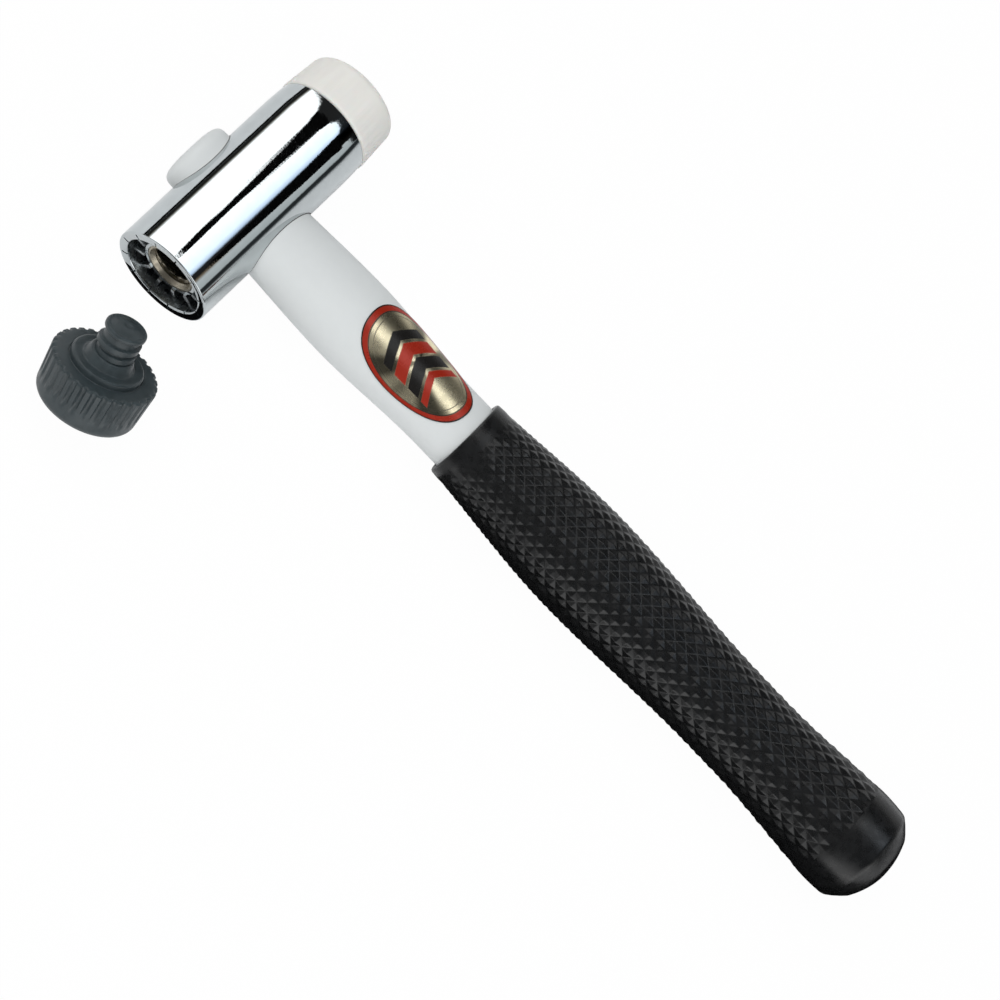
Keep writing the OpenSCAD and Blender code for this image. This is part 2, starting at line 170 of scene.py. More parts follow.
class FaceSettings(bpy.types.PropertyGroup):
    height: length("Height", "Shoulder to striking surface", 14.6 * MM)
    taper: length("Taper", "How far the side draws in towards the striking end", 0.8 * MM)
    edge: length("Edge", "Rounding of the striking edge", 2.8 * MM)
    flute_depth: length("Flute depth", "Depth of the plastic face's flutes at the shoulder", 0.7 * MM)
    flute_count: number("Flutes", "Number of flutes around a face", 32)
    flute_phase: measure("Flute phase", "Turn of the first flute, in flutes", 0.7, min=0, max=1)
    flute_width: length("Flute width", "Width of a flute at the shoulder", 1.8 * MM)
    nylon_flute_depth: length("Nylon flute depth", "Depth of the nylon face's faint flutes", 0.1 * MM)
    thread_pitch: length("Thread pitch", "Pitch of the spigot's thread", 2.9 * MM)
    thread_depth: length("Thread depth", "Depth of the spigot's thread", 0.95 * MM)
    nylon: colour("Nylon", "the nylon face", (0.79, 0.78, 0.74))
    plastic: colour("Plastic", "the loose plastic face", (0.029, 0.039, 0.043))


class HandleSettings(bpy.types.PropertyGroup):
    crown: length("Crown", "How far the shaft's end stands out of the barrel", 4.9 * MM)
    knurl_depth: length("Knurl depth", "Depth of the grip's diamonds", 0.54 * MM)
    knurl_starts: number("Knurl starts", "Diamonds around the grip", 22)
    polymer: colour("Polymer", "the shaft", (0.67, 0.695, 0.695))
    rubber: colour("Rubber", "the grip", (0.0045, 0.0047, 0.005))


class LabelSettings(bpy.types.PropertyGroup):
    place: length("Place", "Head axis to the label's centre", 67.4 * MM)
    long: length("Length", "Length of the oval label", 39.4 * MM)
    wide: length("Width", "Width of the label around the shaft", 21.8 * MM)
    turn: measure("Turn", "Angle of its centre from the top", math.radians(8), subtype="ANGLE")
    foil: colour("Foil", "the bare foil", (0.66, 0.59, 0.41))
    border: colour("Border", "the printed border", (0.36, 0.022, 0.008))
    ink: colour("Ink", "the dark print", (0.012, 0.011, 0.01))


class StudioSettings(bpy.types.PropertyGroup):
    lens: measure("Lens", "Focal length on a 36 mm sensor", 126.06)
    fill: measure("Fill", "Power of the fill light", 15.4, unit="POWER")
    floor_size: length("Floor size", "Side of the square floor", 3.2)
    floor: colour("Floor", "the floor", (0.88, 0.885, 0.89))


# Modelling helpers


def begin(name, primitive, **options):
    """Adds a primitive alone in edit mode, under its piece's name."""
    object_mode()
    bpy.ops.object.select_all(action="DESELECT")
    primitive(enter_editmode=True, **options)
    obj = bpy.context.object
    obj.name = obj.data.name = name
    return obj


def object_mode():
    if bpy.context.object and bpy.context.object.mode != "OBJECT":
        bpy.ops.object.mode_set(mode="OBJECT")


def alone(*objects):
    """Selects only these objects, the first of them active."""
    object_mode()
    bpy.ops.object.select_all(action="DESELECT")
    for obj in objects:
        obj.select_set(True)
    bpy.context.view_layer.objects.active = objects[0]


def pick(obj, chosen):
    """Goes into edit mode with only the vertices that chosen(vertex) names selected."""
    object_mode()
    mesh = obj.data
    mesh.polygons.foreach_set("select", [False] * len(mesh.polygons))
    mesh.edges.foreach_set("select", [False] * len(mesh.edges))
    for vertex in mesh.vertices:
        vertex.select = chosen(vertex)
    bpy.ops.object.mode_set(mode="EDIT")
    bpy.ops.mesh.select_mode(type="VERT")


def pick_edges(obj, chosen):
    """Goes into edit mode with only the edges that chosen(first, second) names by their ends selected."""
    pick(obj, lambda v: False)
    object_mode()
    for edge in obj.data.edges:
        edge.select = chosen(*edge.vertices)
    bpy.ops.object.mode_set(mode="EDIT")
    bpy.ops.mesh.select_mode(type="EDGE")


def face_outwards(merge=False):
    """Turns all faces of the active piece outwards, after its doubles are merged if asked."""
    bpy.ops.object.mode_set(mode="EDIT")
    bpy.ops.mesh.select_all(action="SELECT")
    if merge:
        bpy.ops.mesh.remove_doubles(threshold=MERGE)
    bpy.ops.mesh.normals_make_consistent(inside=False)
    object_mode()


def link(obj):
    bpy.context.scene.collection.objects.link(obj)


def repeated(obj, places):
    """A piece and its copies, each with its own mesh, at these places. The first place is the piece's own."""
    copies = [obj]
    for place in places[1:]:
        mesh = obj.data.copy()
        mesh.transform(place)
        copies.append(bpy.data.objects.new(obj.name, mesh))
        link(copies[-1])
    return copies


def joined(blocks):
    """Joins loose blocks into the first one."""
    alone(*blocks)
    bpy.ops.object.join()
    face_outwards()
    return blocks[0]


def settle(obj, place):
    """Puts a piece's place into its mesh and leaves it at the origin."""
    object_mode()
    obj.data.transform(place)
    obj.data.update()


def turned(name, outline, steps):
    """Draws an outline of (radius, height) points vertex by vertex, and spins it about Z."""
    obj = begin(name, bpy.ops.mesh.primitive_circle_add, vertices=3, radius=MM)
    bpy.ops.mesh.merge(type="CENTER")
    bpy.ops.transform.translate(value=(outline[0][0], 0, outline[0][1]))
    for (r0, z0), (r1, z1) in zip(outline, outline[1:]):
        bpy.ops.mesh.extrude_vertices_move(TRANSFORM_OT_translate={"value": (r1 - r0, 0, z1 - z0)})
    bpy.ops.mesh.select_all(action="SELECT")
    bpy.ops.mesh.spin(steps=steps, angle=FULL_TURN, center=(0, 0, 0), axis=(0, 0, 1))
    face_outwards(merge=True)
    return obj


def lofted(name, rings, capped=True):
    """Draws a circle up ring by ring, then moves each vertex to its place in the rings."""
    count = len(rings[0])
    obj = begin(name, bpy.ops.mesh.primitive_circle_add, vertices=count, radius=1)
    for _ in rings[1:]:
        bpy.ops.mesh.extrude_edges_move(TRANSFORM_OT_translate={"value": (0, 0, 1)})
    if capped:
        bpy.ops.mesh.select_all(action="DESELECT")
        bpy.ops.mesh.select_non_manifold(extend=False)
        bpy.ops.mesh.fill_holes(sides=0)
    object_mode()
    place = {}
    for vertex in obj.data.vertices:
        row = round(vertex.co.z)
        column = round(math.atan2(vertex.co.y, vertex.co.x) / FULL_TURN * count) % count
        place[vertex.index] = (row, column)
        vertex.co = rings[row][column]
    face_outwards()
    return obj, place


def apply_boolean(obj, tool, operation):
    """Joins or cuts a piece with another, which is then removed."""
    alone(obj)
    modifier = obj.modifiers.new(operation.title(), "BOOLEAN")
    modifier.operation, modifier.solver, modifier.object = operation, "EXACT", tool
    bpy.ops.object.modifier_apply(modifier=modifier.name)
    bpy.data.objects.remove(tool)


def smooth(obj, degrees):
    alone(obj)
    bpy.ops.object.shade_smooth_by_angle(angle=math.radians(degrees))


def dress(obj, finish):
    """Gives a piece, or a CAD node that stays in view, one finish all over."""
    obj.data.materials.clear()
    obj.data.materials.append(finish)


def finish_piece(obj, body, node, finish):
    """Dresses a piece that stands for a CAD node."""
    dress(obj, finish)
    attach(obj, body)
    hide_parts(node)


def push_out(co, shift):
    """Moves a point of a turned piece outwards by a length in mm."""
    co.xy *= 1 + shift * MM / co.xy.length


def arc(centre, radius, start, end, steps=8):
    """Points of a rounding in (radius, height), angles in degrees."""
    angles = [math.radians(start + (end - start) * k / steps) for k in range(steps + 1)]
    return [(centre[0] + radius * math.cos(a), centre[1] + radius * math.sin(a)) for a in angles]


def run(start, end, steps):
    """Evenly spaced points after the first, up to the second."""
    return [(start[0] + (end[0] - start[0]) * k / steps, start[1] + (end[1] - start[1]) * k / steps)
            for k in range(1, steps + 1)]


def in_metres(points):
    return [(r * MM, z * MM) for r, z in points]


def ease(low, high, value):
    """0 below low, 1 above high and a smooth step between."""
    share = min(max((value - low) / (high - low), 0), 1)
    return share * share * (3 - 2 * share)


def hermite(a, b, slope_a, slope_b, span, u):
    """A smooth curve from a to b with these slopes at its ends, at a share u of its span."""
    return ((2 * u ** 3 - 3 * u ** 2 + 1) * a + (u ** 3 - 2 * u ** 2 + u) * span * slope_a
            + (3 * u ** 2 - 2 * u ** 3) * b + (u ** 3 - u ** 2) * span * slope_b)


def size_at(line, x):
    """Width and thickness of a line of sections at x, in mm."""
    later = [i for i in range(1, len(line)) if x <= line[i][0]]
    i = later[0] if later else len(line) - 1
    before, after = line[i - 1], line[i]
    span = after[0] - before[0]
    u = min(max((x - before[0]) / span, 0), 1)
    return (hermite(before[1], after[1], before[3], after[3], span, u),
            hermite(before[2], after[2], before[4], after[4], span, u))


def power(value, exponent):
    """A power that keeps the value's sign."""
    return math.copysign(abs(value) ** exponent, value)


def oval_point(x, size, turn, lift=0):
    """A point in metres on an oval section in mm, turned from the top towards the nylon face."""
    return Vector((x, (size[0] / 2 + lift) * power(math.sin(turn), 2 / OVAL_POWER),
                   (size[1] / 2 + lift) * power(math.cos(turn), 2 / OVAL_POWER))) * MM


def oval_ring(x, size, count, lift=0):
    """Points spaced evenly round an oval section. lift is a number, or a list with one for each point."""
    fine = count * 8
    trial = [oval_point(x, size, FULL_TURN * k / fine) for k in range(fine + 1)]
    walked = [0]
    for a, b in zip(trial, trial[1:]):
        walked.append(walked[-1] + (b - a).length)
    ring, k = [], 0
    for j in range(count):
        goal = walked[-1] * j / count
        while walked[k + 1] < goal:
            k += 1
        share = (goal - walked[k]) / (walked[k + 1] - walked[k])
        turn = FULL_TURN * (k + share) / fine
        ring.append(oval_point(x, size, turn, lift[j] if isinstance(lift, list) else lift))
    return ring


# Shader helpers


def material(name, **sockets):
    """A new material, and its tree and shader, with constants set on the shader's own sockets."""
    made = bpy.data.materials.new(name)
    made.use_nodes = True
    shader = next(n for n in made.node_tree.nodes if n.type == "BSDF_PRINCIPLED")
    feed(made.node_tree, shader, {key.replace("_", " "): value for key, value in sockets.items()})
    return made, made.node_tree, shader


def feed(tree, node, values):
    """Gives a node its inputs, by name or number, from constants or from other nodes."""
    for key, value in values.items():
        if isinstance(value, bpy.types.NodeSocket):
            tree.links.new(value, node.inputs[key])
        else:
            node.inputs[key].default_value = value


def add(tree, kind, values=None, **settings):
    """A new node with its inputs and settings."""
    node = tree.nodes.new(kind)
    for key, value in settings.items():
        setattr(node, key, value)
    feed(tree, node, values or {})
    return node


def calc(tree, operation, *terms):
    """The outcome of one arithmetic step on these terms."""
    return add(tree, "ShaderNodeMath", dict(enumerate(terms)), operation=operation).outputs[0]


def blend(tree, factor, first, second):
    """The colour first where factor is 0 and second where it is 1."""
    first, second = (c if isinstance(c, bpy.types.NodeSocket) else (*c, 1) for c in (first, second))
    return add(tree, "ShaderNodeMix", {0: factor, 6: first, 7: second}, data_type="RGBA").outputs[2]


def step_up(tree, value, low, high, first=0.0, last=1.0):
    """Maps a value smoothly from low and high to first and last."""
    return add(tree, "ShaderNodeMapRange", {"Value": value, "From Min": low, "From Max": high,
                                            "To Min": first, "To Max": last},
               interpolation_type="SMOOTHSTEP").outputs[0]


def grain_group():
    """Fine surface grain: an even mask and a height, at a scale in grains per metre."""
    name = "Surface grain"
    if name in bpy.data.node_groups:
        return bpy.data.node_groups[name]
    tree = bpy.data.node_groups.new(name, "ShaderNodeTree")
    for socket, way, kind in (("Scale", "INPUT", "Float"), ("Stretch", "INPUT", "Vector"),
                              ("Mask", "OUTPUT", "Float"), ("Height", "OUTPUT", "Float")):
        tree.interface.new_socket(socket, in_out=way, socket_type="NodeSocket" + kind)
    inlet, outlet = tree.nodes.new("NodeGroupInput"), tree.nodes.new("NodeGroupOutput")
    place = add(tree, "ShaderNodeTexCoord").outputs["Object"]
    drawn = add(tree, "ShaderNodeMapping", {"Vector": place, "Scale": inlet.outputs["Stretch"]}).outputs[0]
    coarse = add(tree, "ShaderNodeTexNoise", {"Vector": drawn, "Scale": inlet.outputs["Scale"], "Detail": 4.0})
    finer = calc(tree, "MULTIPLY", inlet.outputs["Scale"], 6.0)
    fine = add(tree, "ShaderNodeTexNoise", {"Vector": drawn, "Scale": finer, "Detail": 2.0})
    feed(tree, outlet, {"Mask": step_up(tree, coarse.outputs[0], 0.3, 0.7), "Height": fine.outputs[0]})
    return tree


def grain(tree, scale, stretch=(1, 1, 1)):
    node = add(tree, "ShaderNodeGroup", {"Scale": scale, "Stretch": stretch}, node_tree=grain_group())
    return node.outputs["Mask"], node.outputs["Height"]


def surfaced(tree, shader, tint, mask, rough, height, bump, relief=0.1 * MM):
    """Feeds a shader its colour, two roughnesses parted by a mask, and a bump over the relief's height."""
    raised = add(tree, "ShaderNodeBump", {"Height": height, "Strength": bump, "Distance": relief}).outputs[0]
    feed(tree, shader, {"Base Color": tint, "Roughness": step_up(tree, mask, 0, 1, *rough), "Normal": raised})


def grained(name, tint, other, scale, rough, rough_other, bump, relief=0.1 * MM, stretch=(1, 1, 1), **sockets):
    """A finish whose colour and roughness wander between two values with the grain."""
    made, tree, shader = material(name, **sockets)
    mask, height = grain(tree, scale, stretch)
    surfaced(tree, shader, blend(tree, mask, tint, other), mask, (rough, rough_other), height, bump, relief)
    return made


def tinted(tint, factor):
    return tuple(min(channel * factor, 1) for channel in tint)


# Pieces


class HAMMER_OT_barrel(bpy.types.Operator):
    """Chrome barrel with its eye, ribbed recesses and nicked open rim"""
    bl_idname = "hammer.barrel"
    bl_label = "Chrome barrel"

    def execute(self, context):
        s = context.scene.hammer_barrel
        r, recess, pocket = s.radius / MM, s.recess_radius / MM, s.pocket_depth / MM
        open_end, nylon_end = -OPEN_LENGTH / MM, NYLON_LENGTH / MM
        fall, drawn, edge = s.end_fall / MM, 9.0, 0.4
        start = nylon_end - drawn

        def surface(z):
            """Radius of the outside, which draws in over its last stretch."""
            return r - fall * max((z - start) / drawn, 0) ** 2

        end_r = surface(nylon_end - edge)
        floor, boss = open_end + SOCKET_DEPTH, open_end + BOSS_DEPTH
        outline = [(0, floor), (BUSH_SEAT, floor), (BUSH_SEAT, boss), (BOSS - 0.2, boss), (BOSS, boss + 0.2),
                   (BOSS, open_end + pocket), (recess, open_end + pocket), (recess, open_end + 0.75)]
        outline += arc((recess + 0.5, open_end + 0.5), 0.5, 180, 270, 5)
        outline += arc((r - 0.35, open_end + 0.35), 0.35, -90, 0, 6)
        outline += [(surface(z), z) for z in (-28, -20, -12, -4, 4, 12, 20, start)]
        steps = [start + (drawn - edge) * k / 16 for k in range(1, 17)]
        outline += [(surface(z), z) for z in steps] + arc((end_r - edge, nylon_end - edge), edge, 0, 90, 5)[1:]
        floor, boss = nylon_end - SOCKET_DEPTH, nylon_end - BOSS_DEPTH
        outline += [(recess + 0.6, nylon_end), (recess, nylon_end - 0.6), (recess, nylon_end - pocket),
                    (BOSS, nylon_end - pocket), (BOSS, boss), (BUSH_SEAT, boss), (BUSH_SEAT, floor), (0, floor)]
        barrel = turned("chrome_barrel", in_metres(outline), 256)
        apply_boolean(barrel, self.ribs(s, open_end, nylon_end), "UNION")
        apply_boolean(barrel, self.cutters(s, open_end), "DIFFERENCE")
        smooth(barrel, 30)
        self.true_normals(barrel, lambda z: (surface(z + 0.01) - surface(z - 0.01)) / 0.02, end_r - 0.02)
        settle(barrel, TO_HEAD @ ALONG_BARREL)
        chrome = grained("Chrome plate", s.chrome, tinted(s.chrome, 1.05), 280, 0.02, 0.05, 1.0, 0.0045 * MM,
                         Metallic=1.0)
        finish_piece(barrel, "hammer", "head_casting", chrome)
        # A rougher cast finish inside the recesses, whose darker tone is partly painted shade there and on the
        # socket floors
        dull = grained("Dull cast plate and painted shade", s.cast, tinted(s.cast, 0.35), 420, 0.2, 0.42, 0.5, Metallic=1.0)
        barrel.data.materials.append(dull)
        self.dull_and_shaded_recesses(barrel, recess)
        resin = grained("Cured resin", s.resin, tinted(s.resin, 1.6), 900, 0.35, 0.5, 0.1)
        dress(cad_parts["eye_bond"], resin)
        return {"FINISHED"}

    def dull_and_shaded_recesses(self, barrel, recess):
        """Gives the inside of the recesses and sockets, all but the boss's polished top, the second finish: a
        dull plate whose darker tone is partly painted shade.
        """
        for polygon in barrel.data.polygons:
            middle = (polygon.center - HEAD) / MM
            deep = 0.6 - OPEN_LENGTH / MM < middle.y < NYLON_LENGTH / MM - 0.6
            out = middle.xz.length
            top = abs(middle.y + OPEN_LENGTH / MM - BOSS_DEPTH) < 0.3 and BUSH_SEAT - 0.1 < out < BOSS + 0.05
            polygon.material_index = int(deep and not top and out < recess + 0.05)

    def ribs(self, s, open_end, nylon_end):
        """Ribs between the boss and the recess wall, at both ends, from one bevelled block."""
        sunk, across, middle = 0.3, 4.0, 11.25
        high = s.pocket_depth / MM - RIB_DEPTH + sunk
        rib = begin("rib", bpy.ops.mesh.primitive_cube_add, size=1)
        bpy.ops.transform.resize(value=(across * MM, s.rib_thickness, high * MM))
        pick(rib, lambda v: v.co.z < 0)
        bpy.ops.mesh.bevel(offset=0.3 * MM, segments=3, affect="EDGES")
        bpy.ops.mesh.select_all(action="SELECT")
        bpy.ops.transform.translate(value=(middle * MM, 0, (open_end + RIB_DEPTH + high / 2) * MM))
        object_mode()
        far = Matrix.Translation((0, 0, (open_end + nylon_end) * MM)) @ Matrix.Rotation(math.pi, 4, "X")
        return joined(repeated(rib, [turn @ end for turn in self.turns(s) for end in (Matrix(), far)]))

    def turns(self, s):
        """Turns about Z from one rib to the next."""
        return [Matrix.Rotation(FULL_TURN * k / s.rib_count, 4, "Z") for k in range(s.rib_count)]

    def cutters(self, s, open_end):
        """The tapered oval eye and the nicks in the open rim."""
        bond, past_barrel = 0.4, 18
        top, wide, thick, widening, thickening = SHAFT_LINE[0]
        rings = [oval_ring(x, (wide + widening * (x - top), thick + thickening * (x - top)), 128, bond)
                 for x in (-past_barrel, past_barrel)]
        eye, _ = lofted("eye", rings)
        eye.data.transform(ALONG_BARREL.inverted())
        nick = begin("nick", bpy.ops.mesh.primitive_cube_add, size=1)
        bpy.ops.transform.resize(value=(2.5 * MM, 0.55 * MM, 1.4 * MM))
        bpy.ops.transform.translate(value=(s.recess_radius + 0.9 * MM, 0, open_end * MM))
        pick(nick, lambda v: v.co.z > open_end * MM)
        bpy.ops.mesh.bevel(offset=0.15 * MM, segments=2, affect="EDGES")
        object_mode()
        return joined([eye, *repeated(nick, self.turns(s))])

    def true_normals(self, barrel, slope, least):
        """Gives the polished outside the normals of the true curve, so that no facets show in it."""
        mesh = barrel.data
        normals = [corner.vector.copy() for corner in mesh.corner_normals]
        for polygon in mesh.polygons:
            middle = polygon.center
            radial = Vector((middle.x, middle.y, 0))
            if radial.length < least * MM * 0.995 or polygon.normal.dot(radial.normalized()) < 0.97:
                continue
            for index in polygon.loop_indices:
                co = mesh.vertices[mesh.loops[index].vertex_index].co
                out = Vector((co.x, co.y, 0)).normalized()
                normals[index] = Vector((out.x, out.y, -slope(co.z / MM))).normalized()
        mesh.normals_split_custom_set(normals)


class HAMMER_OT_bushes(bpy.types.Operator):
    """Threaded bush in the open socket, and the finish of the hidden one"""
    bl_idname = "hammer.bushes"
    bl_label = "Threaded bushes"

    def execute(self, context):
        s, faces = context.scene.hammer_barrel, context.scene.hammer_faces
        open_end = -OPEN_LENGTH / MM
        top, mouth, bottom = open_end + BOSS_DEPTH, open_end + 4.6, open_end + SOCKET_DEPTH
        seat, rim = BUSH_SEAT - 0.02, 7.45
        outline = [(seat, bottom), (seat, top + 0.15), (8.1, top), (rim, top)]
        outline += run((rim, top), (BORE + 0.05, mouth), 4) + run((BORE, mouth), (BORE, bottom), 60)
        outline += [(seat, bottom)]
        bush = turned("open_bush", in_metres(outline), 96)
        pitch = faces.thread_pitch / MM
        for vertex in bush.data.vertices:
            co = vertex.co
            z = co.z / MM
            if co.xy.length / MM < BORE + 0.02 and mouth + 0.1 < z < bottom - 0.1:
                phase = (z / pitch + math.atan2(co.y, co.x) / FULL_TURN) % 1
                groove = BORE_GROOVE * ease(0.22, 0.5, 1 - abs(phase * 2 - 1))
                push_out(co, groove * ease(mouth, mouth + 1, z) * ease(0, 1, bottom - z))
        smooth(bush, 40)
        settle(bush, TO_HEAD @ ALONG_BARREL)
        # Painted shade: the brass is painted nearly black down the bore, from 0.8 mm to 4.5 mm below its mouth
        brass = self.brass(s, (HEAD.y + (mouth + 0.8) * MM, HEAD.y + (mouth + 4.5) * MM))
        finish_piece(bush, "hammer", "open_socket_insert", brass)
        dress(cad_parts["nylon_socket_insert"], brass)
        return {"FINISHED"}

    def brass(self, s, bore_shade_span):
        """Dull brass painted darker down the bore as painted shade, from one place along Y to another."""
        made, tree, shader = material("Bush brass with painted bore shade", Metallic=1.0)
        mask, height = grain(tree, 500)
        place = add(tree, "ShaderNodeTexCoord").outputs["Object"]
        along = add(tree, "ShaderNodeSeparateXYZ", {0: place}).outputs[1]
        worn = blend(tree, mask, s.brass, tinted(s.brass, 0.75))
        # Painted shade: the worn brass blends to near black deeper in the bore
        depth = step_up(tree, along, *bore_shade_span)
        dark = blend(tree, depth, worn, tinted(s.brass, 0.03))
        surfaced(tree, shader, dark, mask, (0.26, 0.42), height, 0.15)
        return made


class HAMMER_OT_faces(bpy.types.Operator):
    """Nylon face in its socket and plastic face lying loose, each with flutes and a screw thread"""
    bl_idname = "hammer.faces"
    bl_label = "Screw-in faces"

    def execute(self, context):
        s = context.scene.hammer_faces
        r = context.scene.hammer_barrel.radius / MM
        nylon = self.face(s, "nylon_cap", r, s.nylon_flute_depth / MM)
        plastic = self.face(s, "plastic_cap", r, s.flute_depth / MM)
        on_rim = Matrix.Translation((0, NYLON_LENGTH, 0)) @ ALONG_BARREL @ Matrix.Rotation(math.pi, 4, "X")
        settle(nylon, TO_HEAD @ on_rim)
        lean = Matrix.Rotation(LOOSE_HEADING, 4, "Z") @ Matrix.Rotation(LOOSE_TILT, 4, "Y")
        settle(plastic, TO_HEAD @ Matrix.Translation(LOOSE_CENTRE) @ lean)
        white = grained("White nylon", s.nylon, tinted(s.nylon, 0.965), 260, 0.34, 0.46, 0.06,
                        stretch=(1, 0.15, 1), Subsurface_Weight=0.12, Subsurface_Scale=1.5 * MM)
        grey = grained("Grey plastic", s.plastic, tinted(s.plastic, 1.25), 420, 0.3, 0.42, 0.12)
        finish_piece(nylon, "nylon_face", "nylon_face", white)
        finish_piece(plastic, "plastic_face", "plastic_face", grey)
        return {"FINISHED"}

    def face(self, s, name, r, flute):
        """A face about Z, its shoulder at the origin and its spigot upwards."""
        high, edge = s.height / MM, s.edge / MM
        foot, lip = r - s.taper / MM, 0.8
        side = [(0, -high), (4, -high), (8, -high)] + arc((foot - edge, edge - high), edge, -90, 0, 10)
        side += run((foot, edge - high), (r, -lip), 18) + arc((r - lip, -lip), lip, 0, 90, 6)[1:]
        disc = run((r - lip, 0), (11.25, 0), 4) + [(11.05, -0.16), (10.9, -0.05), (10.9, 1.2)]
        disc += arc((10.1, 1.2), 0.8, 0, 90, 6)[1:] + run((10.1, 2.0), (8.1, 1.94), 3)
        cone = [(7.8, 1.98), (7.6, 2.1)] + run((7.6, 2.1), (6.45, 4.4), 5)
        cone += [(6.3, 4.6), (6.0, 4.72), (5.3, 4.78)]
        root = run((ROOT, ROOT_START), (ROOT, ROOT_END), 60)
        tip = [(5.3, 12.14), (5.95, 12.26), (6.14, 12.45), (6.18, 13.1), (6.1, 13.5), (5.85, 13.76),
               (5.5, 13.86), (5.2, 13.84), (4.95, 13.8), (4.7, 13.86)] + run((4.7, 13.86), (3.1, 14.3), 3)
        tip += [(1.7, 14.46), (1.3, 14.5), (0.95, 14.44), (0.5, 14.36), (0, 14.34)]
        obj = turned(name, in_metres(side + disc + cone + root + tip), s.flute_count * 10)
        for vertex in obj.data.vertices:
            co = vertex.co
            radius, z = co.xy.length / MM, co.z / MM
            turn = math.atan2(co.y, co.x) / FULL_TURN
            if radius > foot - lip and z > edge - high:
                push_out(co, -flute * self.flute(s, r, turn) * self.run_out(-z / high))
            elif abs(radius - ROOT) < 0.05 and ROOT_START <= z <= ROOT_END:
                push_out(co, s.thread_depth / MM * self.ridge(s.thread_pitch / MM, turn, z))
        smooth(obj, 34)
        return obj

    def flute(self, s, r, turn):
        """Depth of a flute across its width, as a share, at a part of a full turn."""
        half = s.flute_width / MM / 2 * s.flute_count / (FULL_TURN * r)
        phase = (turn * s.flute_count - s.flute_phase + 0.5) % 1
        return 1 - ease(0.15, half, abs(phase - 0.5))

    def run_out(self, down):
        """Flutes are deepest at the shoulder and run out part of the way down the side."""
        return 1 - ease(0.42, 0.74, down)

    def ridge(self, pitch, turn, z):
        """Height of the thread's ridge as a share: it rises at the cone and stops short of the tip."""
        wound = z / pitch - turn
        centre = pitch * (math.floor(wound) + 0.5 + turn)
        across = ease(0.28, 0.48, 1 - abs(wound % 1 * 2 - 1))
        return across * ease(5, 6, centre) * ease(0, 0.15, RIDGE_END - centre)


class HAMMER_OT_shaft(bpy.types.Operator):
    """Oval polymer shaft with a flat-topped domed end above the barrel"""
    bl_idname = "hammer.shaft"
    bl_label = "Polymer shaft"

    def execute(self, context):
        s = context.scene.hammer_handle
        count, domed, start = 96, 17, SHAFT_LINE[0][0]
        wide, thick = size_at(SHAFT_LINE, start)
        rings = []
        for k in range(domed):
            rise = math.cos(math.pi / 2 * k / domed)
            shrink = (1 - rise ** 4) ** 0.25 if k else 0.12
            rings.append(oval_ring(start - s.crown / MM * rise, (wide * shrink, thick * shrink), count))
        rings += [oval_ring(x, size_at(SHAFT_LINE, x), count) for x in range(start, THROAT + 1, 2)]
        rings += [oval_ring(x, size_at(SHAFT_LINE, THROAT), count) for x in (92, TANG_END)]
        shaft, _ = lofted("polymer_shaft", rings)
        smooth(shaft, 50)
        settle(shaft, TO_HEAD)
        white = grained("White polymer", s.polymer, tinted(s.polymer, 0.985), 300, 0.36, 0.46, 0.05)
        finish_piece(shaft, "hammer", "handle_shaft", white)
        return {"FINISHED"}


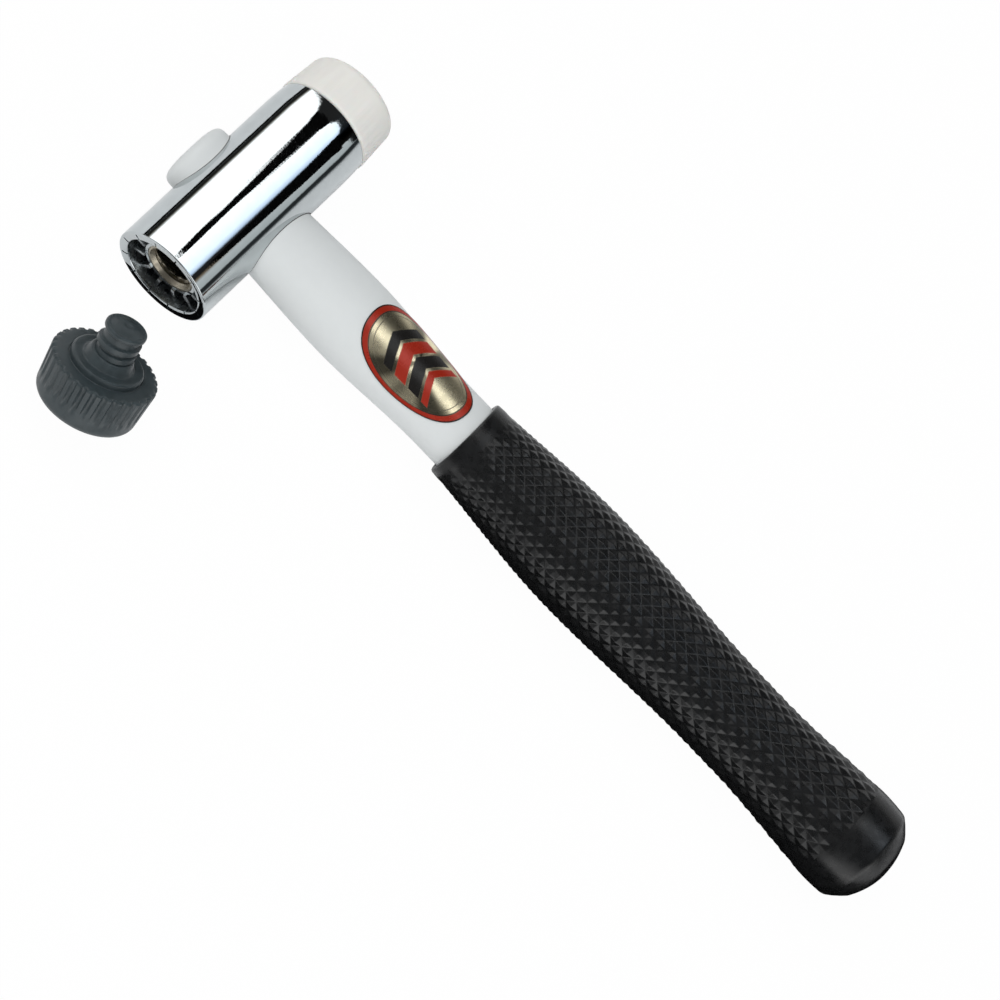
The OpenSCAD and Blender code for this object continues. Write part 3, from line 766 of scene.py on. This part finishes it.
class HAMMER_OT_grip(bpy.types.Operator):
    """Rubber grip with a smooth collar, diamond knurling and a domed end"""
    bl_idname = "hammer.grip"
    bl_label = "Knurled grip"

    def execute(self, context):
        s = context.scene.hammer_handle
        rings, first, last = self.rings(s.knurl_starts * 2, s.knurl_depth / MM)
        grip, place = lofted("knurled_grip", rings)
        inside = {index: cell for index, cell in place.items() if first <= cell[0] <= last}
        pick(grip, lambda v: v.index in inside and (inside[v.index][0] - first + inside[v.index][1]) % 2 == 1)
        bpy.ops.mesh.vert_connect()
        pick_edges(grip, lambda a, b: a in inside and b in inside and (sum(inside[a]) + sum(inside[b])) % 2 == 1)
        bpy.ops.mesh.bevel(offset=0.3 * MM, segments=2, affect="EDGES")
        smooth(grip, 24)
        even = grip.modifiers.new("Even facets", "WEIGHTED_NORMAL")
        even.keep_sharp = True
        bpy.ops.object.modifier_apply(modifier=even.name)
        settle(grip, TO_HEAD)
        rubber = grained("Black rubber", s.rubber, tinted(s.rubber, 1.6), 380, 0.25, 0.33, 0.15,
                         Specular_IOR_Level=0.5)
        finish_piece(grip, "hammer", "grip_sleeve", rubber)
        return {"FINISHED"}

    def rings(self, count, depth):
        """Rings from the bottom of the bore round the collar to the dome, and the first and last of the knurl."""
        throat, start = size_at(SHAFT_LINE, THROAT), GRIP_LINE[0][0]
        collar, bulb = size_at(GRIP_LINE, start), size_at(GRIP_LINE, GRIP_LINE[-1][0])
        edge, dome, inset = 257.5, 264.1, 10.6

        def ring(x, fall=0, size=None):
            return oval_ring(x, size or size_at(GRIP_LINE, x), count, fall)

        rings = [ring(TANG_END + 0.02, 0.02, throat), ring(start + 0.4, 0.02, throat),
                 ring(start + 0.1, 0.35, throat), ring(start, 0.8, throat),
                 ring(start, -0.55, collar), ring(start + 0.15, -0.2, collar), ring(start + 0.6)]
        rings += [ring(x, fall) for x, fall in GRIP_COLLAR]
        first, rows = len(rings), self.knurl_rows(KNURL_START, KNURL_END)
        for i, x in enumerate(rows):
            deep = depth * KNURL_RISE[min(i, 4)] * KNURL_RUN_OUT[min(len(rows) - 1 - i, 2)]
            rings.append(ring(x, [-deep if (i + j) % 2 else -0.15 * 0.5 ** i for j in range(count)]))
        last = len(rings) - 1
        rings += [ring(x, fall) for x, fall in GRIP_TAIL]
        for a in map(math.radians, (10, 20, 30, 40, 48)):
            rings.append(ring(edge + 2.47 * math.sin(a), -0.3 - 1.6 * (1 - math.cos(a)), bulb))
        rings += [ring(x, fall, bulb) for x, fall in GRIP_BEVEL]
        for a in map(math.radians, (0, 8, 16, 24, 32, 40, 48, 56, 64, 72, 80, 86)):
            size = [(side - inset) * math.cos(a) for side in bulb]
            rings.append(ring(dome + 3.1 * math.sin(a) ** 2, 0, size))
        return rings, first, last

    def knurl_rows(self, start, end):
        """Half diamonds along the grip, which lengthen steadily from the collar to the end."""
        rows, x = [start], start
        while x < end:
            x += (3.9 + 0.0122 * (x - 100)) / 2
            rows.append(x)
        if len(rows) % 2 == 0:
            rows.pop()
        stretch = (end - start) / (rows[-1] - start)
        return [start + (x - start) * stretch for x in rows]


class HAMMER_OT_label(bpy.types.Operator):
    """Oval foil label wrapped on the shaft, with a printed border and a plain chevron pattern"""
    bl_idname = "hammer.label"
    bl_label = "Foil label"

    def execute(self, context):
        s = context.scene.hammer_label
        spokes, rings = 96, 14
        reach = s.wide / MM * 2 / sum(size_at(SHAFT_LINE, s.place / MM))
        flat = [[(share * math.cos(FULL_TURN * k / spokes), share * math.sin(FULL_TURN * k / spokes))
                 for k in range(spokes)] for share in (max(i / rings, 0.004) for i in range(rings + 1))]

        def lay(along, across):
            x = s.place / MM + s.long / MM / 2 * along
            return oval_point(x, size_at(SHAFT_LINE, x), s.turn + reach * across, 0.12)

        label, place = lofted("foil_label", [[lay(*point) for point in ring] for ring in flat], capped=False)
        pick(label, lambda v: place[v.index][0] == 0)
        bpy.ops.mesh.edge_face_add()
        object_mode()
        layer = label.data.uv_layers.new(name="Print")
        for loop in label.data.loops:
            row, column = place[loop.vertex_index]
            along, across = flat[row][column]
            layer.data[loop.index].uv = ((along + 1) / 2, (across + 1) / 2)
        face_outwards()
        if sum(p.normal.z for p in label.data.polygons) < 0:
            label.data.flip_normals()
        wall = label.modifiers.new("Foil", "SOLIDIFY")
        wall.thickness, wall.offset = 0.2 * MM, 1
        bpy.ops.object.modifier_apply(modifier=wall.name)
        smooth(label, 40)
        settle(label, TO_HEAD)
        finish_piece(label, "hammer", "handle_label", self.printed(s))
        return {"FINISHED"}

    def printed(self, s):
        """Foil with painted highlight streaks, a red border, dark pinstripes and four chevrons, all from the
        label's own map.
        """
        made, tree, shader = material("Printed gold foil")
        flat = add(tree, "ShaderNodeUVMap", uv_map="Print").outputs[0]
        point = add(tree, "ShaderNodeSeparateXYZ", {0: flat}).outputs
        along, across = (calc(tree, "MULTIPLY_ADD", point[i], 2.0, -1.0) for i in (0, 1))
        out = calc(tree, "SQRT", calc(tree, "ADD", calc(tree, "MULTIPLY", along, along),
                                      calc(tree, "MULTIPLY", across, across)))

        def band(value, low, high, soft=0.008):
            return calc(tree, "MULTIPLY", step_up(tree, value, low - soft, low + soft),
                        step_up(tree, value, high - soft, high + soft, 1.0, 0.0))

        def union(*masks):
            result = masks[0]
            for mask in masks[1:]:
                result = calc(tree, "MAXIMUM", result, mask)
            return result

        border = band(out, 0.885, 0.985)
        pinstripes = union(band(out, 0.868, 0.888), band(out, 0.978, 1.1), band(out, 0.79, 0.802))
        slant = calc(tree, "MULTIPLY_ADD", calc(tree, "ABSOLUTE", across), -0.4, along)
        middle = step_up(tree, calc(tree, "ABSOLUTE", across), 0.57, 0.59, 1.0, 0.0)
        dark = calc(tree, "MULTIPLY", union(band(slant, -0.6, -0.42), band(slant, -0.1, 0.12)), middle)
        red = calc(tree, "MULTIPLY", union(band(slant, -0.37, -0.15), band(slant, 0.17, 0.3)), middle)
        mask, height = grain(tree, 300)
        # Painted highlight: streaks fanning out from the label's middle lighten and darken the bare foil
        sweep = calc(tree, "ARCTAN2", calc(tree, "MULTIPLY", across, 0.62), along)
        painted_streaks = calc(tree, "ADD", calc(tree, "SINE", calc(tree, "MULTIPLY_ADD", sweep, 4.0, 0.9)),
                    calc(tree, "SINE", calc(tree, "MULTIPLY_ADD", sweep, 7.0, 2.2)))
        foil = blend(tree, step_up(tree, painted_streaks, -1.3, 1.3), tinted(s.foil, 0.3), tinted(s.foil, 1.5))
        foil = blend(tree, union(border, red), foil, s.border)
        foil = blend(tree, union(pinstripes, dark), foil, s.ink)
        bare = calc(tree, "SUBTRACT", 1.0, union(border, red, pinstripes, dark))
        feed(tree, shader, {"Metallic": step_up(tree, bare, 0, 1, 0.25, 0.95)})
        surfaced(tree, shader, foil, mask, (0.24, 0.3), height, 0.02, 0.05 * MM)
        return made


class HAMMER_OT_studio(bpy.types.Operator):
    """Plain pale floor, soft studio light and the camera"""
    bl_idname = "hammer.studio"
    bl_label = "Studio"

    def execute(self, context):
        s = context.scene.hammer_studio
        context.scene.view_settings.view_transform = "Standard"
        self.floor(s)
        self.barrel_cards()
        self.floor_shades()
        self.fill_light(s)
        self.world(context.scene)
        self.camera(context.scene, s)
        return {"FINISHED"}

    def floor(self, s):
        """A pale floor, nearly white to the camera, so that it shows next to no shadow."""
        floor = begin("floor", bpy.ops.mesh.primitive_plane_add, size=s.floor_size)
        bpy.ops.mesh.bevel(offset=0.4, segments=12, affect="VERTICES")
        object_mode()
        made, tree, shader = material("Pale floor", Roughness=0.9, Base_Color=(*s.floor, 1))
        out = next(n for n in tree.nodes if n.type == "OUTPUT_MATERIAL")
        bright = add(tree, "ShaderNodeEmission", {"Color": (1, 1, 1, 1), "Strength": 1.0})
        seen = add(tree, "ShaderNodeLightPath").outputs["Is Camera Ray"]
        plain = calc(tree, "MULTIPLY", seen, 0.975)
        mixed = add(tree, "ShaderNodeMixShader", {0: plain, 1: shader.outputs[0], 2: bright.outputs[0]})
        feed(tree, out, {"Surface": mixed.outputs[0]})
        dress(floor, made)

    def barrel_cards(self):
        """Dark cards above, which part the lights in the barrel's mirror image."""
        self.mirrored_card("overhead_gap", 0.75, OVERHEAD_GAP)
        self.mirrored_card("side_gap", 0.3, SIDE_GAP)

    def mirrored_card(self, name, ragged, edges):
        """A card whose mirror image fills the barrel between two angles from the top, at places along it."""
        left, right = [], []
        for (y0, a0, b0), (y1, a1, b1) in zip(edges, edges[1:]):
            steps = max(round((y1 - y0) / 0.6), 1)
            for k in range(steps):
                share = k / steps
                y = y0 + (y1 - y0) * share
                # A ragged edge, from nothing at the first place
                stray = ragged * min((y - edges[0][0]) / 4, 1)
                stray *= (math.sin(7.3 * y) * math.sin(2.9 * y + 1) + 0.6 * math.sin(17.1 * y))
                left.append(self.on_barrel(y, a0 + (a1 - a0) * share + stray))
                right.append(self.on_barrel(y, b0 + (b1 - b0) * share))
        self.card(name, left + right[::-1], CARD_HEIGHT)

    def on_barrel(self, y, lean):
        """Where the camera sees a card above in the barrel, at a place along it and degrees from its top."""
        out = Vector((math.sin(math.radians(lean)), 0, math.cos(math.radians(lean))))
        return self.mirrored(out * (HEAD_HIGH.z - HEAD.z) / MM + Vector((0, y, 0)), out, CARD_HEIGHT)

    def mirrored(self, point, out, high):
        """Where the camera's sight of a point lands at a height, once mirrored there by a surface facing out."""
        way = (point - CAMERA_PLACE / MM).normalized().reflect(out)
        seen = point + way * (high - point.z) / way.z
        return seen.x, seen.y

    def floor_shades(self):
        """Dark cards on the floor, seen only in the open rim, in the barrel's far side and in the grip."""
        ground = -HEAD.z / MM + 0.2
        rim = []
        for radius, way in ((17.5, 1), (12.3, -1)):
            for turn in range(-130, 71, 10)[::way]:
                across = Vector((math.cos(math.radians(turn)), 0, math.sin(math.radians(turn))))
                point = across * radius + Vector((0, -OPEN_LENGTH / MM, 0))
                rim.append(self.mirrored(point, Vector((0, -1, 0)), ground))
        self.card("rim_shade", rim, ground)
        self.card("far_shade", FAR_SHADE, ground)
        self.card("grip_shade", GRIP_SHADE, ground)

    def card(self, name, corners, high):
        """A flat dark card that shows in mirror images alone."""
        card = begin(name, bpy.ops.mesh.primitive_circle_add, vertices=len(corners), radius=1, fill_type="NGON")
        object_mode()
        for vertex, (x, y) in zip(card.data.vertices, corners):
            vertex.co = HEAD + Vector((x, y, high)) * MM
        dress(card, bpy.data.materials.get("Dark card") or material(
            "Dark card", Base_Color=(0.004, 0.004, 0.004, 1), Roughness=1.0, Specular_IOR_Level=0.0)[0])
        card.visible_camera = card.visible_diffuse = card.visible_shadow = False

    def fill_light(self, s):
        """A broad overhead light that shows in no mirror image."""
        data = bpy.data.lights.new("fill_light", "AREA")
        data.shape, data.size, data.energy = "DISK", 1.6, s.fill
        light = bpy.data.objects.new("fill_light", data)
        light.location, goal = HEAD + Vector((-0.22, -0.26, 1.3)), HEAD + Vector((0.05, 0, 0))
        light.rotation_euler = (goal - light.location).to_track_quat("-Z", "Y").to_euler()
        light.visible_camera = light.visible_glossy = False
        link(light)

    def world(self, scene):
        """Soft light from panels, with a plain pale backdrop for what the camera sees directly."""
        world = bpy.data.worlds.new("Studio")
        scene.world = world
        world.use_nodes = True
        tree = world.node_tree
        tree.nodes.clear()
        sky = add(tree, "ShaderNodeTexCoord").outputs["Generated"]
        way = add(tree, "ShaderNodeSeparateXYZ", {0: sky}).outputs
        lit = add(tree, "ShaderNodeAddShader", {0: self.overhead(tree, *way), 1: self.panels(tree, *way)})
        pale = add(tree, "ShaderNodeBackground", {"Color": (0.93, 0.935, 0.94, 1), "Strength": 1.0})
        seen = add(tree, "ShaderNodeLightPath").outputs["Is Camera Ray"]
        mixed = add(tree, "ShaderNodeMixShader", {0: seen, 1: lit.outputs[0], 2: pale.outputs[0]})
        tree.nodes.active = add(tree, "ShaderNodeOutputWorld", {0: mixed.outputs[0]})

    def overhead(self, tree, x, y, z):
        """A light above, whose tones and reach along the barrel follow the angle round it."""
        share = calc(tree, "MULTIPLY_ADD", calc(tree, "ARCTAN2", x, z), 1 / FULL_TURN, 0.5)
        tones = self.ramp(tree, share, LIGHT_TONES)
        ends = self.ramp(tree, share, [(angle, (tone,) * 3) for angle, tone in LIGHT_REACH], "EASE")
        past = calc(tree, "SUBTRACT", y, calc(tree, "MULTIPLY_ADD", ends, 0.16, 0.425))
        reach = step_up(tree, past, -0.008, 0.012, 1.0, 0.012)
        near = step_up(tree, y, 0.22, 0.37, 0.05, 1.0)
        strength = calc(tree, "MULTIPLY", calc(tree, "MULTIPLY", reach, near), 1.85)
        return add(tree, "ShaderNodeBackground", {"Color": tones, "Strength": strength}).outputs[0]

    def panels(self, tree, x, y, z):
        """A panel in front, and low walls on all sides but where the camera would see them in the barrel."""
        ahead = calc(tree, "MULTIPLY_ADD", x, 0.75, calc(tree, "MULTIPLY", y, -0.66))
        aside = calc(tree, "ABSOLUTE", calc(tree, "SUBTRACT", y, 0.4))
        walls = calc(tree, "MULTIPLY", step_up(tree, aside, 0.18, 0.35),
                     step_up(tree, z, 0.12, 0.55, 0.6, 0.03))
        strength = calc(tree, "ADD", walls, step_up(tree, ahead, 0.7, 0.8, 0.0, 1.15))
        return add(tree, "ShaderNodeBackground", {"Color": (1, 1, 1, 1), "Strength": strength}).outputs[0]

    def ramp(self, tree, share, tones, kind="LINEAR"):
        """Tones by angle, where the share of a full turn runs from -180 to 180 degrees."""
        node = add(tree, "ShaderNodeValToRGB", {0: share})
        node.color_ramp.interpolation = kind
        points = node.color_ramp.elements
        while len(points) < len(tones):
            points.new(0.5)
        for point, (angle, tone) in zip(points, tones):
            point.position = angle / 360 + 0.5
            point.color = (*tone, 1)
        return node.outputs[0]

    def camera(self, scene, s):
        """The view of the photograph, as fitted to its outlines."""
        data = bpy.data.cameras.new("camera")
        data.lens, data.sensor_width = s.lens, 36
        data.clip_start, data.clip_end = 0.01, 50
        data.dof.use_dof = False
        camera = bpy.data.objects.new("camera", data)
        link(camera)
        back = CAMERA_BACK.normalized()
        up = back.cross(CAMERA_RIGHT).normalized()
        turn = Matrix((up.cross(back), up, back)).transposed().to_4x4()
        camera.matrix_world = Matrix.Translation(HEAD + CAMERA_PLACE) @ turn
        scene.camera = camera


class HAMMER_PT_panel(bpy.types.Panel):
    """Lists the hammer's pieces and their sizes"""
    bl_idname = "HAMMER_PT_panel"
    bl_label = "Soft Face Hammer"
    bl_space_type = "VIEW_3D"
    bl_region_type = "UI"
    bl_category = "Hammer"

    def draw(self, context):
        for operator, settings in STEPS:
            box = self.layout.box()
            box.operator(operator.bl_idname)
            group = getattr(context.scene, settings)
            for key in group.__annotations__:
                box.prop(group, key)


SETTINGS = {
    "hammer_barrel": BarrelSettings,
    "hammer_faces": FaceSettings,
    "hammer_handle": HandleSettings,
    "hammer_label": LabelSettings,
    "hammer_studio": StudioSettings,
}
STEPS = [
    (HAMMER_OT_studio, "hammer_studio"),
    (HAMMER_OT_barrel, "hammer_barrel"),
    (HAMMER_OT_bushes, "hammer_barrel"),
    (HAMMER_OT_faces, "hammer_faces"),
    (HAMMER_OT_shaft, "hammer_handle"),
    (HAMMER_OT_grip, "hammer_handle"),
    (HAMMER_OT_label, "hammer_label"),
]
CLASSES = [*SETTINGS.values(), *(operator for operator, _ in STEPS), HAMMER_PT_panel]


def register():
    for cls in CLASSES:
        bpy.utils.register_class(cls)
    for name, group in SETTINGS.items():
        setattr(bpy.types.Scene, name, bpy.props.PointerProperty(type=group))


def unregister():
    for name in SETTINGS:
        delattr(bpy.types.Scene, name)
    for cls in reversed(CLASSES):
        bpy.utils.unregister_class(cls)


def main():
    register()
    for operator, _ in STEPS:
        family, verb = operator.bl_idname.split(".")
        getattr(getattr(bpy.ops, family), verb)()


if __name__ == "__main__":
    main()
